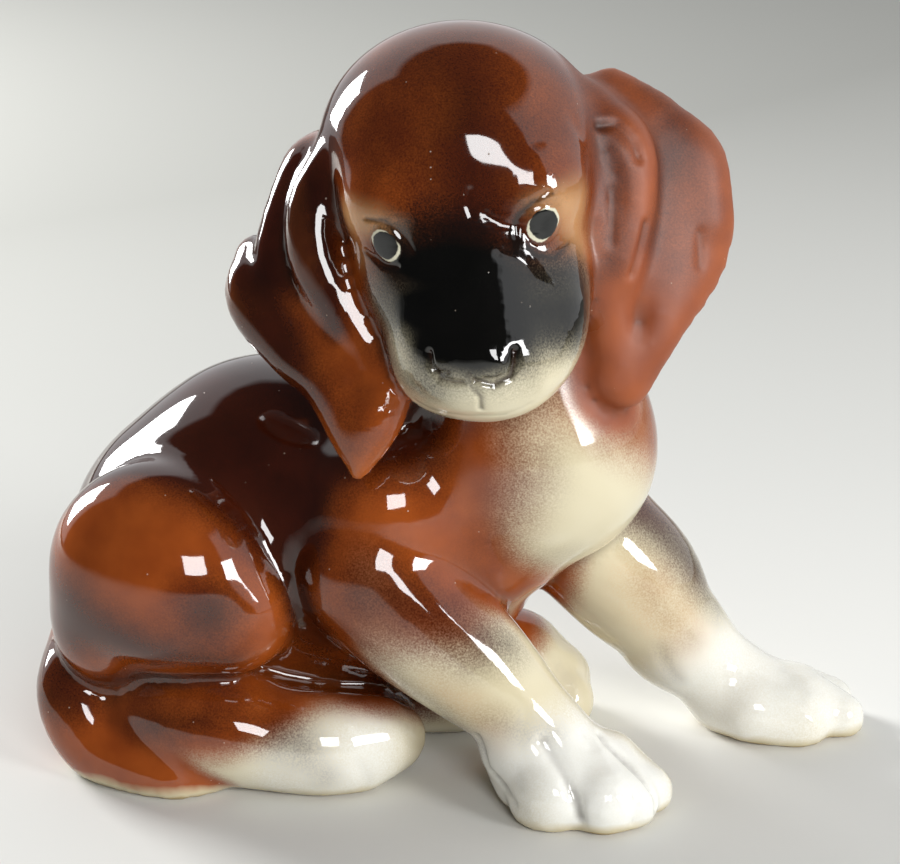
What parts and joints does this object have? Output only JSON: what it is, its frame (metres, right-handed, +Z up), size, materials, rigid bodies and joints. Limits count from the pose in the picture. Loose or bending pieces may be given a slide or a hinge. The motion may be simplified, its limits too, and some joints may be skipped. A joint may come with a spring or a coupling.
{
  "type": "dog figurine",
  "caption": "Glazed ceramic figurine of a seated long-eared puppy with its front legs stretched out, cast in one piece, for display on a shelf.",
  "frame": {"origin": "middle of the footprint, on the table the puppy sits on", "axes": "-Y is the display side, where the face looks; +X is the way the chest and the far front paw reach; +Z is up"},
  "size_m": [0.1814, 0.1, 0.1629],
  "materials": {
    "glazed_ceramic": "sprayed brown, black and cream underglaze colours beneath a clear glossy glaze"
  },
  "bodies": {
    "root": {"puppy": "glazed_ceramic"}
  },
  "joints": []
}
